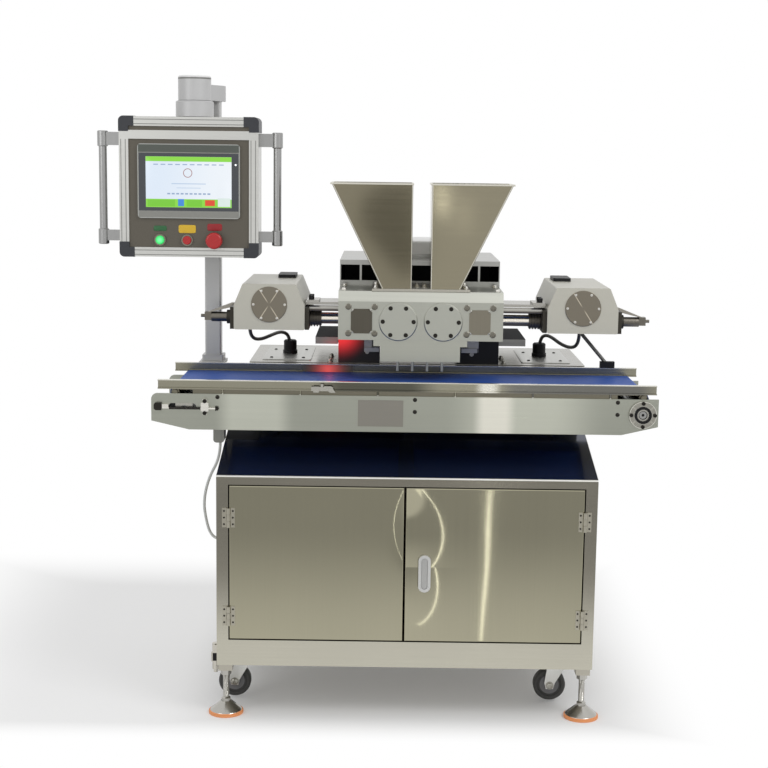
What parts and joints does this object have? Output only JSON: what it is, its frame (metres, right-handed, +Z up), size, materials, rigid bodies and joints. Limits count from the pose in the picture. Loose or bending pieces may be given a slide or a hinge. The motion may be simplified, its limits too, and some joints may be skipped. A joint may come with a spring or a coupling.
{
  "type": "one-shot chocolate depositor",
  "caption": "Chocolate depositor on a steel cabinet: belt conveyor under a nozzle head with twin hoppers, piston drives and a swivelling control pendant.",
  "frame": {"origin": "middle of the footprint box on the floor, under the feet", "axes": "+Z up, -Y towards the operator at the doors, +X to the operator's right"},
  "size_m": [1.354, 0.671, 1.534],
  "materials": {
    "stainless": "brushed",
    "satin_steel": "satin",
    "hopper_steel": "brushed",
    "turned_steel": "turned",
    "dark_plate": "satin",
    "housing_grey": "matt",
    "aluminium": "satin",
    "bright_steel": "polished",
    "black_metal": "satin",
    "black_plastic": "matt",
    "belt_blue": "satin",
    "wheel_grey": "matt",
    "panel_olive": "satin",
    "display": "gloss",
    "green_lens": "gloss",
    "red_plastic": "gloss",
    "cable_black": "matt",
    "conduit_grey": "matt",
    "latch_grey": "satin"
  },
  "bodies": {
    "machine": {"cabinet_shell": "stainless", "cabinet_front_frame": "stainless", "castor_plates": "bright_steel", "conveyor_side_plates": "satin_steel", "conveyor_belt": "belt_blue", "conveyor_bed": "satin_steel", "guide_rails": "stainless", "conveyor_fittings": "satin_steel", "wiring_box": "satin_steel", "deck_plate": "stainless", "cable_glands": "black_plastic", "pendant_post": "aluminium", "head_block": "satin_steel", "valve_covers": "satin_steel", "head_side_plates": "dark_plate", "nozzle_manifold": "satin_steel", "hopper_flange": "satin_steel", "hoppers": "hopper_steel", "head_pedestals": "black_metal", "rear_hood": "satin_steel", "rear_chassis": "black_metal", "drive_housings": "housing_grey", "drive_covers": "turned_steel", "drive_flanges": "black_metal", "drive_guides": "satin_steel", "stay_rod": "bright_steel", "air_valve": "bright_steel", "pendant_arm": "aluminium", "cable_left": "cable_black", "cable_right": "cable_black", "conduit_loop": "conduit_grey"},
    "left_door": {"door_left": "stainless"},
    "right_door": {"door_right": "stainless"},
    "latch_lever": {"latch_lever": "latch_grey"},
    "foot_front_left": {"foot_front_left": "bright_steel"},
    "foot_rear_left": {"foot_rear_left": "bright_steel"},
    "foot_front_right": {"foot_front_right": "bright_steel"},
    "foot_rear_right": {"foot_rear_right": "bright_steel"},
    "castor_fork_front_left": {"castor_fork_front_left": "bright_steel"},
    "castor_wheel_front_left": {"castor_wheel_front_left": "wheel_grey"},
    "castor_fork_rear_left": {"castor_fork_rear_left": "bright_steel"},
    "castor_wheel_rear_left": {"castor_wheel_rear_left": "wheel_grey"},
    "castor_fork_front_right": {"castor_fork_front_right": "bright_steel"},
    "castor_wheel_front_right": {"castor_wheel_front_right": "wheel_grey"},
    "castor_fork_rear_right": {"castor_fork_rear_right": "bright_steel"},
    "castor_wheel_rear_right": {"castor_wheel_rear_right": "wheel_grey"},
    "drive_roller": {"drive_roller": "bright_steel"},
    "tail_roller": {"tail_roller": "bright_steel"},
    "piston_left": {"piston_left": "bright_steel"},
    "piston_right": {"piston_right": "bright_steel"},
    "air_valve_lever": {"air_valve_lever": "red_plastic"},
    "pendant": {"pendant_frame": "aluminium", "pendant_corners": "black_plastic", "pendant_panel": "panel_olive", "pendant_display": "display", "pendant_handles": "aluminium", "pendant_swivel": "aluminium"},
    "start_button": {"start_button": "green_lens"},
    "stop_button": {"stop_button": "red_plastic"},
    "emergency_stop": {"emergency_stop": "red_plastic"}
  },
  "joints": [
    {"name": "left_door_hinge", "type": "hinge", "parent": "machine", "child": "left_door", "pos_m": [-0.334, -0.3295, 0.3885], "axis": [0, 0, -1], "range_deg": [0, 110]},
    {"name": "right_door_hinge", "type": "hinge", "parent": "machine", "child": "right_door", "pos_m": [0.508, -0.3295, 0.3885], "axis": [0, 0, 1], "range_deg": [0, 110]},
    {"name": "latch_lever_pull", "type": "hinge", "parent": "right_door", "child": "latch_lever", "pos_m": [0.131, -0.3275, 0.3995], "axis": [-1, 0, 0], "range_deg": [0, 30], "stiffness_Nm_per_rad": 0.05},
    {"name": "drive_roller_spin", "type": "hinge", "parent": "machine", "child": "drive_roller", "pos_m": [0.634, -0.1745, 0.758], "axis": [0, 1, 0], "continuous": true},
    {"name": "tail_roller_spin", "type": "hinge", "parent": "machine", "child": "tail_roller", "pos_m": [-0.438, -0.1745, 0.758], "axis": [0, 1, 0], "continuous": true},
    {"name": "piston_left_stroke", "type": "slide", "parent": "machine", "child": "piston_left", "axis": [-1, 0, 0], "range_m": [0, 0.03]},
    {"name": "piston_right_stroke", "type": "slide", "parent": "machine", "child": "piston_right", "axis": [1, 0, 0], "range_m": [0, 0.03]},
    {"name": "pendant_swivel_turn", "type": "hinge", "parent": "machine", "child": "pendant", "pos_m": [-0.441, -0.0645, 1.474], "axis": [0, 0, 1], "range_deg": [-60, 18]},
    {"name": "start_button_push", "type": "slide", "parent": "pendant", "child": "start_button", "axis": [0, 1, 0], "range_m": [0, 0.004], "stiffness_N_per_m": 400},
    {"name": "stop_button_push", "type": "slide", "parent": "pendant", "child": "stop_button", "axis": [0, 1, 0], "range_m": [0, 0.004], "stiffness_N_per_m": 400},
    {"name": "emergency_stop_push", "type": "slide", "parent": "pendant", "child": "emergency_stop", "axis": [0, 1, 0], "range_m": [0, 0.004]},
    {"name": "air_valve_turn", "type": "hinge", "parent": "machine", "child": "air_valve_lever", "pos_m": [-0.377, -0.2355, 0.123], "axis": [0, -1, 0], "range_deg": [0, 90]},
    {"name": "castor_swivel_front_left", "type": "hinge", "parent": "machine", "child": "castor_fork_front_left", "pos_m": [-0.306, -0.1695, 0.1297], "axis": [0, 0, 1], "continuous": true},
    {"name": "castor_roll_front_left", "type": "hinge", "parent": "castor_fork_front_left", "child": "castor_wheel_front_left", "pos_m": [-0.334, -0.1695, 0.046], "axis": [0, 1, 0], "continuous": true},
    {"name": "castor_swivel_rear_left", "type": "hinge", "parent": "machine", "child": "castor_fork_rear_left", "pos_m": [-0.306, 0.1805, 0.1297], "axis": [0, 0, 1], "continuous": true},
    {"name": "castor_roll_rear_left", "type": "hinge", "parent": "castor_fork_rear_left", "child": "castor_wheel_rear_left", "pos_m": [-0.334, 0.1805, 0.046], "axis": [0, 1, 0], "continuous": true},
    {"name": "castor_swivel_front_right", "type": "hinge", "parent": "machine", "child": "castor_fork_front_right", "pos_m": [0.48, -0.1695, 0.1297], "axis": [0, 0, 1], "continuous": true},
    {"name": "castor_roll_front_right", "type": "hinge", "parent": "castor_fork_front_right", "child": "castor_wheel_front_right", "pos_m": [0.452, -0.1695, 0.046], "axis": [0, 1, 0], "continuous": true},
    {"name": "castor_swivel_rear_right", "type": "hinge", "parent": "machine", "child": "castor_fork_rear_right", "pos_m": [0.48, 0.1805, 0.1297], "axis": [0, 0, 1], "continuous": true},
    {"name": "castor_roll_rear_right", "type": "hinge", "parent": "castor_fork_rear_right", "child": "castor_wheel_rear_right", "pos_m": [0.452, 0.1805, 0.046], "axis": [0, 1, 0], "continuous": true},
    {"name": "foot_height_front_left", "type": "slide", "parent": "machine", "child": "foot_front_left", "axis": [0, 0, -1], "range_m": [0, 0.02]},
    {"name": "foot_height_rear_left", "type": "slide", "parent": "machine", "child": "foot_rear_left", "axis": [0, 0, -1], "range_m": [0, 0.02]},
    {"name": "foot_height_front_right", "type": "slide", "parent": "machine", "child": "foot_front_right", "axis": [0, 0, -1], "range_m": [0, 0.02]},
    {"name": "foot_height_rear_right", "type": "slide", "parent": "machine", "child": "foot_rear_right", "axis": [0, 0, -1], "range_m": [0, 0.02]}
  ],
  "couplings": [
    {"joint": "tail_roller_spin", "follows": "drive_roller_spin", "ratio": 1}
  ]
}
